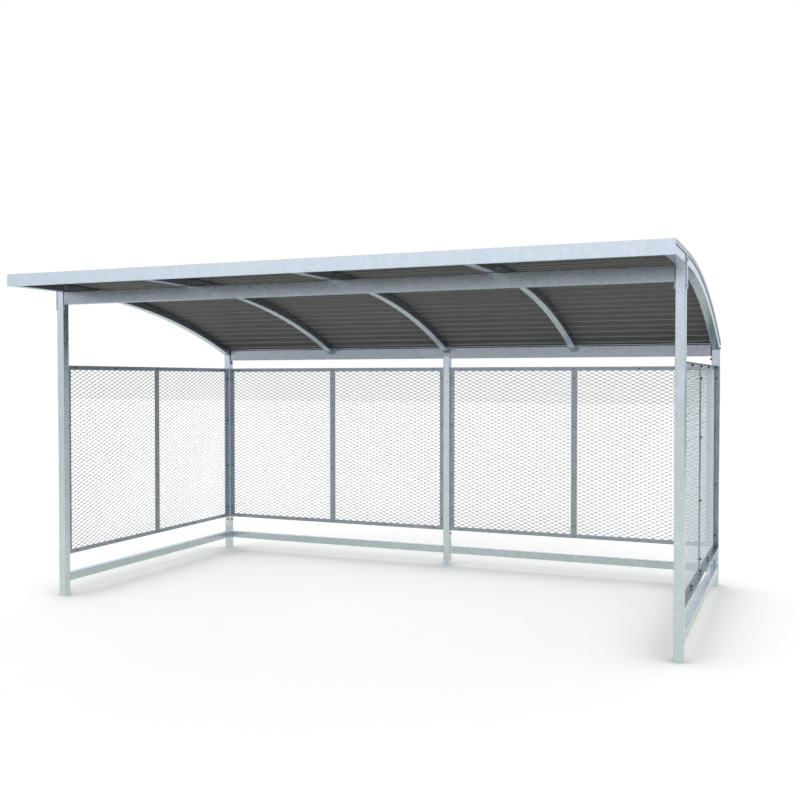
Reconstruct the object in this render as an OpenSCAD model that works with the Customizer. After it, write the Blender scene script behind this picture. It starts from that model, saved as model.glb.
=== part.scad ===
// Open-fronted bike shelter: five square-tube posts, five bent roof arches,
// a trapezoidal sheet roof and expanded-mesh panels on the sides and the back.
// Millimetres, +Z up, the ground at Z = 0, the open front towards -Y.

/* [Shelter] */
// Width over the outer faces of the corner posts
width = 4670; // [3600:10:6000]
// Depth over the outer faces of the corner posts
depth = 2380; // [1900:10:2900]
// Height of the front posts, which is the underside of the roof arches
front_height = 2342; // [2100:1:2700]
// How far the roof runs out in front of the front posts
front_overhang = 500; // [250:10:700]
// How far the roof sheets run past the back of the rear posts
rear_overhang = 5; // [4:1:60]
// Radius of the underside of the bent roof arches
arch_radius = 6094; // [5000:1:9000]

/* [Square tube] */
// Side of the square tube of posts, arches and low rails
tube = 60; // [50:1:80]
// Wall of the square tube
tube_wall = 3; // [2:0.5:5]
// Outer corner radius of the tube
tube_corner = 5; // [3.5:0.5:8]

/* [Beams] */
// Height of the front and rear beams
beam_h = 97; // [80:1:120]
// Depth of the rear beam, front to back
rear_beam_d = 40; // [30:1:45]
// How far the front face of the rear beam lies behind the posts' front face
rear_beam_set = 6; // [4:1:10]
// Thickness of the plates at the beam ends and of the outer fish plates
plate_t = 6; // [4:1:10]
// How far these plates run below the beam, where the bolts are
plate_drop = 45; // [35:1:80]
// How far the front beam's end plates lie behind its faces
plate_inset = 10; // [6:1:15]
// Gap between the rear beam and each corner post, taken up by its end plate
rear_end_gap = 9; // [7:1:14]
// Height of the tongue of the middle post in front of the rear beam
post_tongue = 22; // [10:1:40]
// Thickness of the web that joins the rear beam's end to its end plate
end_web_t = 12; // [8:1:16]

/* [Low rails] */
// Height of the underside of the low rails above the ground
rail_z = 108; // [60:1:200]

/* [Mesh panels] */
// Height of the lower edge of the panels above the ground
panel_z = 312; // [250:1:450]
// Height of the upper edge of the panels above the ground
panel_top = 1777; // [1500:1:1800]
// Leg of the angle iron that frames a panel: an upright's width, and how far it stands out
angle_leg = 40; // [25:1:40]
// Width of the level bars of that frame
rail_leg = 33; // [25:1:40]
// Thickness of the angle iron and of the flat bars
angle_t = 3; // [2:0.5:4]
// How far a panel lies behind the inner faces of its posts
panel_set = 20; // [15:1:22]
// Width of the bar down the middle of a panel
centre_bar_w = 50; // [40:1:80]
// Thickness of the expanded mesh
mesh_t = 4; // [2:0.5:6]
// Width of the flat bars that clamp the mesh
clamp_w = 24; // [20:1:25]

/* [Roof sheets] */
// Distance from rib to rib, along the roof
rib_pitch = 117; // [100:1:140]
// Height of the ribs, over the sheet
rib_h = 23; // [18:1:40]
// Width of the top of a rib
rib_top = 26; // [20:1:36]
// Run of the slanted side of a rib
rib_side = 6; // [4:1:10]
// Thickness of the roof sheet
sheet_t = 1.5; // [1:0.1:2]
// Ribs in each of the two upper sheets
sheet_ribs = 8; // [6:1:10]
// How far the front edge of the sheets lies ahead of the first rib's centre
first_rib = 33; // [30:1:60]

/* [Roof trims] */
// Thickness of the folded trims
trim_t = 2; // [1.5:0.1:3]
// Width of the folds that lie on the roof
trim_fold = 40; // [30:1:60]
// Depth of the fold behind the lower edge of the fascia
fascia_lip = 18; // [12:1:30]
// How far the verge trim hangs down over the outer face of the end arch
verge_lap = 3; // [1:1:8]
// How far the rear trim lies behind the front face of the rear beam
rear_trim_set = 6; // [2:1:12]
// Width of the foot of the rear trim
rear_trim_foot = 22; // [15:1:28]
// Gap between the rear trim and the underside of the sheets
rear_trim_gap = 5; // [2:1:8]

/* [Cleats and plate bolts] */
// Leg of the cleats that hold the inner arches on the front beam
cleat_leg = 40; // [30:1:44]
// Thickness of the cleats
cleat_t = 4; // [3:0.5:6]
// Length of the cleats, along the arch
cleat_l = 50; // [40:1:60]
// Leg of the cleats that hold the inner arches to the rear beam
rear_cleat_leg = 32; // [25:1:40]
// Height of the rear cleats
rear_cleat_h = 38; // [25:1:45]
// How far the rear cleats stand above the rear beam
rear_cleat_up = 10; // [0:1:12]
// Width over the flats of the bolt heads on the fish plates
bolt_flats = 13; // [10:1:17]
// Height of these bolt heads
bolt_head_h = 5.5; // [4:0.5:8]

/* [Hidden] */
$fn = 48;

// Facets to a full turn of the roof line, whose radius is metres long
BEND_FN = 720;
GALV = "#b9c4cc";
GALV_DARK = "#8f979d";
SHEET = "#4c4c4c";

// Places along Y: the origin is at the middle of the whole depth.
roof_depth = front_overhang + depth + rear_overhang;
y_fascia = -roof_depth / 2;
y_front = y_fascia + front_overhang;
y_back = y_front + depth;
y_roof_end = y_fascia + roof_depth;

// The arches run level to the back of the front posts and bend down from there.
y_bend = y_front + tube;
z_bend = front_height - arch_radius;

// Places along X.
x_out = width / 2;
x_in = x_out - tube;
arch_step = (width - tube) / 4;

// Height of the line that lies "up" above the arches' underside.
function roof_z(y, up) = y <= y_bend
    ? front_height + up
    : z_bend + sqrt(pow(arch_radius + up, 2) - pow(y - y_bend, 2));

rear_height = roof_z(y_back - tube, 0);
y_rear_beam = y_back - tube + rear_beam_set;
rear_beam_top = roof_z(y_rear_beam + rear_beam_d, tube);
rear_beam_z = rear_beam_top - beam_h;

// Angle that the roof line bends through, and a little more to cut off
BEND_SPARE = 2;
bend_end = asin((depth + rear_overhang - tube) / arch_radius) + BEND_SPARE;

// ---- shapes that repeat ----

// Rounded rectangle around the origin, from squares and true circles.
module rounded(w, h, r) {
    square([w - 2 * r, h], center = true);
    square([w, h - 2 * r], center = true);
    for (sx = [-1, 1], sy = [-1, 1])
        translate([sx * (w / 2 - r), sy * (h / 2 - r)]) circle(r);
}

// Section of the square tube, with its hollow.
module tube_section() {
    difference() {
        rounded(tube, tube, tube_corner);
        rounded(tube - 2 * tube_wall, tube - 2 * tube_wall, tube_corner - tube_wall);
    }
}

// Upright length of square tube, its outer corner nearest the origin at (x, y).
module upright(x, y, height) {
    translate([x + tube / 2, y + tube / 2, 0]) linear_extrude(height) tube_section();
}

// Length of square tube along X, or along Y.
module rail_x(x0, x1, y) {
    translate([x0, y + tube / 2, rail_z + tube / 2]) rotate([90, 0, 90])
        linear_extrude(x1 - x0) tube_section();
}

module rail_y(x, y0, y1) {
    translate([x + tube / 2, y1, rail_z + tube / 2]) rotate([90, 0, 0])
        linear_extrude(y1 - y0) tube_section();
}

// Sweeps a section along the roof line from y0 on. In the section, +X is up
// from the arches' underside and +Y runs towards -X of the shelter.
module along_roof(y0) {
    translate([0, y_bend, z_bend]) rotate([0, -90, 0]) {
        rotate([90, 0, 0]) linear_extrude(y_bend - y0) translate([arch_radius, 0]) children();
        rotate_extrude(angle = bend_end, $fn = BEND_FN) translate([arch_radius, 0]) children();
    }
}

// Everything behind y, for cutting sweeps to length.
module behind(y) {
    translate([-width, y, 0]) cube([2 * width, depth, 2 * front_height]);
}

// Roof arch of square tube around x, cut square at the back at y_end.
module arch(x, y_end) {
    difference() {
        translate([x, 0, 0]) along_roof(y_fascia + trim_t)
            translate([tube / 2, 0]) tube_section();
        behind(y_end);
    }
}

// End arch: it stands on both corner posts, its foot cut level.
module end_arch(x) {
    difference() {
        arch(x, y_back);
        translate([x - tube, y_back - tube, rear_height - tube]) cube([2 * tube, 2 * tube, tube]);
    }
}

// ---- panels ----
// A panel is drawn lying down: its length along X, its height along Y, and its
// outer side up. stand_back and stand_side then set it between its posts.

panel_h = panel_top - panel_z;
side_l = depth - 2 * tube;
back_l = (width - 3 * tube) / 2;
back_x = [-x_in, tube / 2];

module stand_back(x) {
    translate([x, y_back - tube + panel_set, panel_z]) mirror([0, 1, 0]) rotate([90, 0, 0])
        children();
}

// side = 1 is the right side, side = -1 the left.
module stand_side(side) {
    translate([side * (x_in + panel_set), y_front + tube, panel_z])
        mirror([side < 0 ? 1 : 0, 0, 0]) rotate([90, 0, 90]) children();
}

module ring(l, h, inset, upright_w, level_w) {
    difference() {
        translate([inset, inset]) square([l - 2 * inset, h - 2 * inset]);
        translate([inset + upright_w, inset + level_w])
            square([l - 2 * (inset + upright_w), h - 2 * (inset + level_w)]);
    }
}

// Mitred frame of angle iron, one leg flat inside, the other turned outwards.
module panel_frame(l) {
    color(GALV_DARK) {
        linear_extrude(angle_t) ring(l, panel_h, 0, angle_leg, rail_leg);
        linear_extrude(angle_leg) ring(l, panel_h, 0, angle_t, angle_t);
    }
}

module centre_bar(l) {
    color(GALV_DARK) translate([(l - centre_bar_w) / 2, rail_leg, 0])
        cube([centre_bar_w, panel_h - 2 * rail_leg, angle_t]);
}

// Outline of the expanded mesh, as one thin sheet.
module mesh(l) {
    color("silver") translate([angle_t + 1, angle_t + 1, angle_t])
        cube([l - 2 * angle_t - 2, panel_h - 2 * angle_t - 2, mesh_t]);
}

// Flat bars that press the mesh against the frame and the centre bar.
module clamp_bars(l) {
    inset = angle_t + 1;
    color(GALV_DARK) translate([0, 0, angle_t + mesh_t]) linear_extrude(angle_t) {
        ring(l, panel_h, inset, clamp_w, clamp_w);
        translate([(l - centre_bar_w) / 2, inset]) square([centre_bar_w, panel_h - 2 * inset]);
    }
}

// ---- roof ----

base_straight = y_bend - y_fascia - trim_t;
base_radius = arch_radius + tube;

// Point at length s along the top of the arches and at height h above it.
function roof_point(s, h) = s <= base_straight
    ? [y_fascia + trim_t + s, front_height + tube + h]
    : let (a = (s - base_straight) / base_radius * 180 / PI)
      [y_bend + (base_radius + h) * sin(a), z_bend + (base_radius + h) * cos(a)];

roof_s_end = base_straight
    + base_radius * asin((y_roof_end - y_bend) / (base_radius + sheet_t)) * PI / 180;
function rib_s(i) = first_rib + i * rib_pitch;
last_rib = floor((roof_s_end - rib_top - first_rib) / rib_pitch);
half_rib = rib_top / 2 + rib_side;

// Points along a pan, in equal steps, so that it follows the bend.
PAN_STEPS = 6;
function pan(s0, s1) = [for (k = [0:PAN_STEPS]) [s0 + (s1 - s0) * k / PAN_STEPS, 0]];

function rib(i, h) = [
    [rib_s(i) - rib_top / 2, h],
    [rib_s(i) + rib_top / 2, h]
];

// Top line of a sheet over the ribs from i0 to i1; a sheet's last rib laps over
// the first rib of the next one, so it stands one thickness higher.
function sheet_line(i0, i1) = concat(
    i0 == 0 ? pan(0, rib_s(0) - half_rib) : [],
    [for (i = [i0:i1 - 1]) each concat(
        rib(i, rib_h - sheet_t),
        pan(rib_s(i) + half_rib, rib_s(i + 1) - half_rib)
    )],
    i1 < last_rib
        ? rib(i1, rib_h)
        : concat(rib(i1, rib_h - sheet_t), pan(rib_s(i1) + half_rib, roof_s_end))
);

sheet_x = x_out + trim_t;

module roof_sheet(i0, i1) {
    line = sheet_line(i0, i1);
    lower = [for (p = line) roof_point(p[0], p[1])];
    upper = [for (k = [len(line) - 1:-1:0]) roof_point(line[k][0], line[k][1] + sheet_t)];
    color(SHEET) translate([-sheet_x, 0, 0]) rotate([90, 0, 90])
        linear_extrude(2 * sheet_x) polygon(concat(lower, upper));
}

// Folded strip over the roof's front edge, from x0 to x1.
fascia_top = front_height + tube + rib_h;

module fascia(x0, x1) {
    color(GALV) translate([x0, 0, 0]) rotate([90, 0, 90]) linear_extrude(x1 - x0) {
        translate([y_fascia, front_height - trim_t])
            square([trim_t, fascia_top - front_height + 2 * trim_t]);
        translate([y_fascia, front_height - trim_t]) square([fascia_lip, trim_t]);
        translate([y_fascia, fascia_top]) square([trim_fold, trim_t]);
    }
}

// Folded strip over one end of the sheets: a leg down the outside, a fold on top.
module verge_trim(side) {
    up_low = tube - verge_lap;
    up_top = tube + rib_h + sheet_t;
    color(GALV) mirror([side < 0 ? 1 : 0, 0, 0]) difference() {
        union() {
            along_roof(y_fascia + trim_t)
                translate([up_low, -sheet_x - trim_t]) square([tube + rib_h - up_low, trim_t]);
            along_roof(y_fascia + trim_fold) {
                translate([up_low, -sheet_x - trim_t]) square([up_top - up_low, trim_t]);
                translate([up_top, -sheet_x - trim_t]) square([trim_t, trim_fold]);
            }
        }
        behind(y_roof_end);
    }
}

// Angle on top of the rear beam, closing most of the gap under the sheets.
rear_trim_y = y_rear_beam + rear_trim_set;

module rear_trim() {
    color(GALV) translate([-x_in, 0, 0]) rotate([90, 0, 90]) linear_extrude(2 * x_in) {
        translate([rear_trim_y, rear_beam_top]) square([rear_trim_foot, sheet_t]);
        translate([rear_trim_y, rear_beam_top])
            square([sheet_t, roof_z(rear_trim_y, tube) - rear_trim_gap - rear_beam_top]);
    }
}

// ---- beams and plates ----

module box_beam(l, d) {
    translate([-l / 2, d / 2, beam_h / 2]) rotate([90, 0, 90]) linear_extrude(l) difference() {
        rounded(d, beam_h, tube_corner);
        rounded(d - 2 * tube_wall, beam_h - 2 * tube_wall, tube_corner - tube_wall);
    }
}

// Front beam between the posts, its end plates reaching up beside the arches.
module front_beam() {
    z0 = front_height - beam_h;
    color(GALV_DARK) {
        translate([0, y_front, z0]) box_beam(2 * (x_in - plate_t), tube);
        for (s = [-1, 1])
            translate([s * (x_in - plate_t / 2) - plate_t / 2, y_front + plate_inset,
                    z0 - plate_drop])
                cube([plate_t, tube - 2 * plate_inset, beam_h + plate_drop + tube]);
    }
}

// Rear beam in the notch of the middle post. At each corner post a thin plate is
// bolted on, and a narrow web joins it to the beam's closed end.
module rear_beam() {
    inset = tube_corner + 1;
    color(GALV_DARK) {
        translate([0, y_rear_beam, rear_beam_z]) box_beam(2 * (x_in - rear_end_gap), rear_beam_d);
        for (s = [-1, 1]) mirror([s < 0 ? 1 : 0, 0, 0])
            translate([x_in, y_rear_beam, rear_beam_z]) {
                translate([-rear_end_gap - tube_wall, inset, inset])
                    cube([tube_wall, rear_beam_d - 2 * inset, beam_h - 2 * inset]);
                translate([-rear_end_gap, (rear_beam_d - end_web_t) / 2, inset])
                    cube([rear_end_gap, end_web_t, beam_h - 2 * inset]);
                translate([-tube_wall, inset, -plate_drop])
                    cube([tube_wall, rear_beam_d - 2 * inset, beam_h + plate_drop]);
            }
    }
}

// Plates outside the front corners, from the posts up over the end arches, each with
// the heads of the two bolts that go through post and arch. They end under the trim.
TRIM_CLEARANCE = 2;

module fish_plates() {
    z0 = front_height - beam_h - plate_drop;
    z1 = front_height + tube - verge_lap - TRIM_CLEARANCE;
    color(GALV_DARK) for (s = [-1, 1]) mirror([s < 0 ? 1 : 0, 0, 0]) {
        translate([x_out, y_front, z0]) cube([plate_t, tube, z1 - z0]);
        for (z = [z0 + plate_drop / 2, front_height + tube / 2])
            translate([x_out + plate_t, y_front + tube / 2, z]) rotate([0, 90, 0])
                cylinder(h = bolt_head_h, d = bolt_flats / cos(30), $fn = 6);
    }
}

// Angles that hold the three inner arches: on the front beam, and at the front face of
// the rear beam.
module arch_cleats() {
    y0 = y_front + (tube - cleat_l) / 2;
    color(GALV_DARK) for (i = [-1, 0, 1]) translate([i * arch_step + tube / 2, 0, 0]) {
        translate([0, y0, front_height]) {
            cube([cleat_t, cleat_l, cleat_leg]);
            cube([cleat_leg, cleat_l, cleat_t]);
        }
        translate([0, y_rear_beam, rear_beam_top + rear_cleat_up - rear_cleat_h]) {
            translate([0, -rear_cleat_leg, 0]) cube([cleat_t, rear_cleat_leg, rear_cleat_h]);
            translate([0, -cleat_t, 0]) cube([rear_cleat_leg, cleat_t, rear_cleat_h]);
        }
    }
}

// Middle rear post: notched behind for the rear beam, its front wall left as a tongue.
module post_back_middle() {
    y0 = y_back - tube;
    color(GALV) difference() {
        upright(-tube / 2, y0, rear_beam_z + post_tongue);
        translate([-tube, y_rear_beam, rear_beam_z]) cube([2 * tube, tube, beam_h]);
    }
}

// ---- the shelter ----

module post_front_left() { color(GALV) upright(-x_out, y_front, front_height); }
module post_front_right() { color(GALV) upright(x_in, y_front, front_height); }
module post_back_left() { color(GALV) upright(-x_out, y_back - tube, rear_height); }
module post_back_right() { color(GALV) upright(x_in, y_back - tube, rear_height); }

module arch_left_end() { color(GALV_DARK) end_arch(-2 * arch_step); }
module arch_left_inner() { color(GALV_DARK) arch(-arch_step, y_rear_beam); }
module arch_middle() { color(GALV_DARK) arch(0, y_rear_beam); }
module arch_right_inner() { color(GALV_DARK) arch(arch_step, y_rear_beam); }
module arch_right_end() { color(GALV_DARK) end_arch(2 * arch_step); }

module low_rail_left() { color(GALV) rail_y(-x_out, y_front + tube, y_back - tube); }
module low_rail_right() { color(GALV) rail_y(x_in, y_front + tube, y_back - tube); }
module low_rail_back_left() { color(GALV) rail_x(-x_in, -tube / 2, y_back - tube); }
module low_rail_back_right() { color(GALV) rail_x(tube / 2, x_in, y_back - tube); }

post_front_left();
post_front_right();
post_back_left();
post_back_middle();
post_back_right();
arch_left_end();
arch_left_inner();
arch_middle();
arch_right_inner();
arch_right_end();
front_beam();
rear_beam();
fish_plates();
arch_cleats();
low_rail_left();
low_rail_right();
low_rail_back_left();
low_rail_back_right();
stand_side(-1) panel_frame(side_l);  // panel_frame_left
stand_side(1) panel_frame(side_l);  // panel_frame_right
stand_back(back_x[0]) panel_frame(back_l);  // panel_frame_back_left
stand_back(back_x[1]) panel_frame(back_l);  // panel_frame_back_right
stand_side(-1) centre_bar(side_l);  // centre_bar_left
stand_side(1) centre_bar(side_l);  // centre_bar_right
stand_back(back_x[0]) centre_bar(back_l);  // centre_bar_back_left
stand_back(back_x[1]) centre_bar(back_l);  // centre_bar_back_right
stand_side(-1) mesh(side_l);  // mesh_left
stand_side(1) mesh(side_l);  // mesh_right
stand_back(back_x[0]) mesh(back_l);  // mesh_back_left
stand_back(back_x[1]) mesh(back_l);  // mesh_back_right
stand_side(-1) clamp_bars(side_l);  // clamp_bars_left
stand_side(1) clamp_bars(side_l);  // clamp_bars_right
stand_back(back_x[0]) clamp_bars(back_l);  // clamp_bars_back_left
stand_back(back_x[1]) clamp_bars(back_l);  // clamp_bars_back_right
roof_sheet(0, sheet_ribs);  // roof_sheet_front
roof_sheet(sheet_ribs, 2 * sheet_ribs);  // roof_sheet_middle
roof_sheet(2 * sheet_ribs, last_rib);  // roof_sheet_rear
fascia(-sheet_x - trim_t, arch_step);  // fascia_left
fascia(arch_step, sheet_x + trim_t);  // fascia_right
verge_trim(-1);  // verge_trim_left
verge_trim(1);  // verge_trim_right
rear_trim();
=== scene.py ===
"""Open-fronted bike shelter: hot-dip galvanised square tube, angle-iron mesh panels and a
ribbed sheet roof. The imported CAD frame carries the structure; this script adds the expanded
mesh, the fastenings, the caps and seals, the welds and every finish. Metres, +Z up, the open
front towards -Y."""

import math
import random

import bpy
from mathutils import Matrix, Vector
from mathutils.bvhtree import BVHTree


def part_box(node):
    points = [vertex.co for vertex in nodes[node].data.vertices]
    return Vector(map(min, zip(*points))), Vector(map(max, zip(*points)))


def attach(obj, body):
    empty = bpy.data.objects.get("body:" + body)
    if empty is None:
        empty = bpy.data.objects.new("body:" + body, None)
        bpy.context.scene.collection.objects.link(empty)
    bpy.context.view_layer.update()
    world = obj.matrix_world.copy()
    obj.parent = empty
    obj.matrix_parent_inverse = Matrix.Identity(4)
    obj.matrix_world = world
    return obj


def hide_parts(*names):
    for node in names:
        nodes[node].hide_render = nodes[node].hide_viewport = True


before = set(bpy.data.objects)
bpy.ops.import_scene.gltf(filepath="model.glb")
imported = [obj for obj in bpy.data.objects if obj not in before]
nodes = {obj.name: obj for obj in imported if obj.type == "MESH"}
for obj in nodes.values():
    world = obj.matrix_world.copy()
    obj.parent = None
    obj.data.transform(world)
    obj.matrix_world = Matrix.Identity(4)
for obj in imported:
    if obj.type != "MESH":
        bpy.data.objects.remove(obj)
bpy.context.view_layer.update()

MM = 0.001
BODY = "root"
RIB_H = 23  # mm, height of the roof sheets' ribs
draws = random.Random(7)


# ---- camera -------------------------------------------------------------------------------

CAMERA_PLACE = (3.0102, -6.8331, 1.6698)  # at eye height, to the right of the open front
CAMERA_LEAN = 1.2127  # degrees below the horizon
CAMERA_TURN = 22.857  # degrees to the left of +Y
CAMERA_LENS = 43.83  # mm, for a sensor 36 mm wide
SENSOR = 36

camera_data = bpy.data.cameras.new("camera")
camera_data.sensor_width = SENSOR
camera_data.lens = CAMERA_LENS
camera_data.clip_end = 200
camera = bpy.data.objects.new("camera", camera_data)
camera.location = CAMERA_PLACE
camera.rotation_euler = (math.radians(90 - CAMERA_LEAN), 0, math.radians(CAMERA_TURN))
bpy.context.scene.collection.objects.link(camera)
bpy.context.scene.camera = camera
bpy.context.scene.view_settings.view_transform = "Standard"


# ---- node trees ---------------------------------------------------------------------------


def linear(colour):
    """An sRGB hex colour as linear RGBA."""
    parts = [int(colour[i : i + 2], 16) / 255 for i in (1, 3, 5)]
    return [c / 12.92 if c <= 0.04045 else ((c + 0.055) / 1.055) ** 2.4 for c in parts] + [1.0]


def node(tree, kind, settings=None, inputs=None, stops=()):
    """Adds a node, sets its settings and colour stops and fills or links its inputs."""
    new = tree.nodes.new(kind)
    for key, value in (settings or {}).items():
        setattr(new, key, value)
    for key, value in (inputs or {}).items():
        if isinstance(value, bpy.types.NodeSocket):
            tree.links.new(value, new.inputs[key])
        else:
            new.inputs[key].default_value = value
    elements = new.color_ramp.elements if stops else ()
    while len(elements) < len(stops):
        elements.new(0.5)
    for element, (place, colour) in zip(elements, stops):
        element.position = place
        element.color = colour
    return new


def grey(value):
    """A neutral linear colour."""
    return (value, value, value, 1.0)


# Settings that many nodes share.
SUBTRACT = {"operation": "SUBTRACT"}
MULTIPLY = {"operation": "MULTIPLY"}
DIVIDE = {"operation": "DIVIDE"}
LARGER = {"operation": "MAXIMUM"}
ABSOLUTE = {"operation": "ABSOLUTE"}
SMOOTH = {"interpolation_type": "SMOOTHSTEP"}
NUMBERS = {"data_type": "FLOAT"}
COLOURS = {"data_type": "RGBA"}
PRODUCT = {"data_type": "RGBA", "blend_type": "MULTIPLY"}

# Sockets of a mix node: how much of the second, then the two numbers or the two colours.
SHARE = 0
FIRST, SECOND = 2, 3
FIRST_COLOUR, SECOND_COLOUR = 6, 7
MIXED_COLOUR = 2  # its output


def empty_material(name):
    """A new material whose node tree is still empty."""
    material = bpy.data.materials.new(name)
    material.use_nodes = True
    material.node_tree.nodes.clear()
    return material


CLOUD_STOPS = (0.34, 0.5, 0.64)  # where the three tones of a coat lie in its clouds
WAVE_LENGTH = 22.222  # mm between the slow waves of the zinc
STAINS = 3.2  # stains across one cloudy patch


def zinc_coat(
    name, tones, patch, stretch=(1, 1, 1), spangle=14, rough=(0.2, 0.32), edge=1.0, ripple=0.1, grain=0.05
):
    """Hot-dip zinc: cloudy patches of bluish, greenish and lavender grey (patch mm wide), a fine
    crystal spangle (spangle mm), slow waves left by the running zinc and softly worn edges."""
    material = empty_material(name)
    tree = material.node_tree
    place = node(tree, "ShaderNodeTexCoord").outputs["Object"]
    stretched = node(tree, "ShaderNodeMapping", {}, {"Vector": place, "Scale": stretch}).outputs[0]
    clouds = node(
        tree,
        "ShaderNodeTexNoise",
        {},
        {"Vector": stretched, "Scale": 1000 / patch, "Detail": 3.0, "Roughness": 0.45},
    )
    hue = node(
        tree,
        "ShaderNodeValToRGB",
        {},
        {"Fac": clouds.outputs["Fac"]},
        [(stop, linear(tone)) for stop, tone in zip(CLOUD_STOPS, tones)],
    )
    crystals = node(tree, "ShaderNodeTexVoronoi", {}, {"Vector": place, "Scale": 1000 / spangle})
    crystal_tone = node(tree, "ShaderNodeSeparateColor", {}, {"Color": crystals.outputs["Color"]})
    paler_and_darker = {"To Min": 1 - grain, "To Max": 1 + grain / 2}
    crystal_grey = node(
        tree, "ShaderNodeMapRange", {}, {"Value": crystal_tone.outputs[0], **paler_and_darker}
    )
    stains = node(
        tree,
        "ShaderNodeTexNoise",
        {},
        {"Vector": stretched, "Scale": STAINS * 1000 / patch, "Detail": 5.0, "Roughness": 0.6},
    )
    stain_range = {"Value": stains.outputs["Fac"], "From Min": 0.3, "From Max": 0.7}
    stain_grey = node(tree, "ShaderNodeMapRange", {}, {**stain_range, **paler_and_darker})
    shade = node(tree, "ShaderNodeMath", MULTIPLY, {0: crystal_grey.outputs[0], 1: stain_grey.outputs[0]})
    colour = node(
        tree,
        "ShaderNodeMix",
        PRODUCT,
        {SHARE: 1.0, FIRST_COLOUR: hue.outputs[0], SECOND_COLOUR: shade.outputs[0]},
    )
    roughness = node(
        tree, "ShaderNodeMapRange", {}, {**stain_range, "To Min": rough[0], "To Max": rough[1]}
    )
    rounded = node(tree, "ShaderNodeBevel", {"samples": 4}, {"Radius": edge * MM})
    waves = node(
        tree,
        "ShaderNodeTexNoise",
        {},
        {"Vector": place, "Scale": 1000 / WAVE_LENGTH, "Detail": 1.0, "Roughness": 0.5},
    )
    bump = node(
        tree,
        "ShaderNodeBump",
        {},
        {
            "Height": waves.outputs["Fac"],
            "Strength": ripple,
            "Distance": 0.6 * MM,
            "Normal": rounded.outputs[0],
        },
    )
    surface = node(
        tree,
        "ShaderNodeBsdfPrincipled",
        {},
        {
            "Base Color": colour.outputs[MIXED_COLOUR],
            "Metallic": 1.0,
            "Roughness": roughness.outputs[0],
            "Normal": bump.outputs[0],
        },
    )
    node(tree, "ShaderNodeOutputMaterial", {}, {"Surface": surface.outputs[0]})
    return material


# Structural tube, dipped after welding: pale, cloudy, softly mottled.
tube_zinc = zinc_coat(
    "hot_dip_galvanised_tube", ("#CBD9DE", "#CED7E3", "#D2D9E8"), 90, (1, 1, 0.5), ripple=0.03
)
# Beams and their plates: a duller, greyer dip.
plate_zinc = zinc_coat(
    "hot_dip_galvanised_plate",
    ("#A6B0B8", "#A8B0BC", "#AEB3C2"),
    75,
    rough=(0.24, 0.36),
    ripple=0.01,
    grain=0.02,
)
# Bent arches: a darker, bluer zinc than the straight tube.
arch_zinc = zinc_coat(
    "hot_dip_galvanised_arches",
    ("#A8B3BD", "#ABB5C3", "#B2BACA"),
    75,
    rough=(0.16, 0.26),
    ripple=0.03,
    grain=0.04,
)
# Hot-rolled angle iron takes the zinc darker than drawn tube does.
angle_zinc = zinc_coat(
    "hot_dip_galvanised_angle_iron", ("#949FA6", "#979FAA", "#9FA4B1"), 60, rough=(0.24, 0.36)
)
# Expanded mesh, dipped after cutting: the thin strands are smooth and bright.
mesh_zinc = zinc_coat(
    "hot_dip_galvanised_expanded_mesh",
    ("#C0CBD2", "#C4CED7", "#CBD1DC"),
    40,
    rough=(0.14, 0.22),
    edge=0.3,
    ripple=0.05,
)
# Folded trims of continuously galvanised sheet: bright, in soft upright patches.
trim_zinc = zinc_coat(
    "galvanised_sheet_trim",
    ("#D2E1E8", "#D7E2EC", "#DCE1F1"),
    80,
    (1, 1, 0.3),
    rough=(0.26, 0.38),
    ripple=0.08,
)
# The verge trims: a greyer, darker and rougher zinc than the other trims.
verge_zinc = zinc_coat(
    "grey_rough_galvanised_verge_trim",
    ("#ABB4C0", "#B0B8C5", "#B6BDCC"),
    80,
    rough=(0.4, 0.5),
    ripple=0.03,
    grain=0.04,
)
# The low rails: the same tube, a little duller.
rail_zinc = zinc_coat(
    "hot_dip_galvanised_low_rails", ("#BCCACE", "#BFC9D0", "#C3CBD5"), 90, (1, 1, 0.5), ripple=0.03
)
# Zinc-plated fasteners: brighter and smoother than dipped steel.
bolt_zinc = zinc_coat(
    "zinc_plated_fasteners", ("#B9C0C6", "#C6CCD2", "#D2D6DA"), 12, rough=(0.18, 0.28), edge=0.2
)
# Bolts of the panels: dull steel, coloured dark.
dull_bolt = zinc_coat(
    "dark_dull_bolts", ("#4E555E", "#575E68", "#626973"), 12, rough=(0.35, 0.45), edge=0.2
)


# Roll-formed sheet with a polyester coat: dark, satin and even, without the sparkle of the zinc.
COAT_TONES = ((0.3, "#4C4C4C"), (0.5, "#4F4F4F"), (0.72, "#525251"))  # dustless to dusty
ROOF_RADIUS = 6.154  # of the underside of the bent sheets
BEND_PLACE = (-0.8825, -3.752)  # Y and Z of the middle of that bend
FOLD_HIGHLIGHT_SPAN = (0.15, 0.5)  # Y between which the painted highlights along the lower fold of each rib come in
FULL_COAT = 0.2  # brightness of the coat where it is darkest, as a share of its palest
# Painted light: inside the ribs the colour is lifted up to 3.3 times that of the pans, to cancel the shade
# that gathers there.
PAINTED_RIB_LIFT = [(0.0, grey(FULL_COAT)), (0.08, grey(0.4)), (0.2, grey(0.6)), (1.0, grey(0.66))]
PEEL_SIZE = 2.381  # mm across the dimples of the coat's orange peel
DUST_SIZE = 111.11  # mm across the clouds of dust
# Painted highlight: towards the rear a thin band along the lower fold of each rib is painted five times paler
# than the pans, for the light it catches.
PAINTED_FOLD_HIGHLIGHT = [(0.0, grey(FULL_COAT)), (0.04, grey(1.0)), (0.14, grey(1.0)), (0.24, grey(0.42))]


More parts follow.
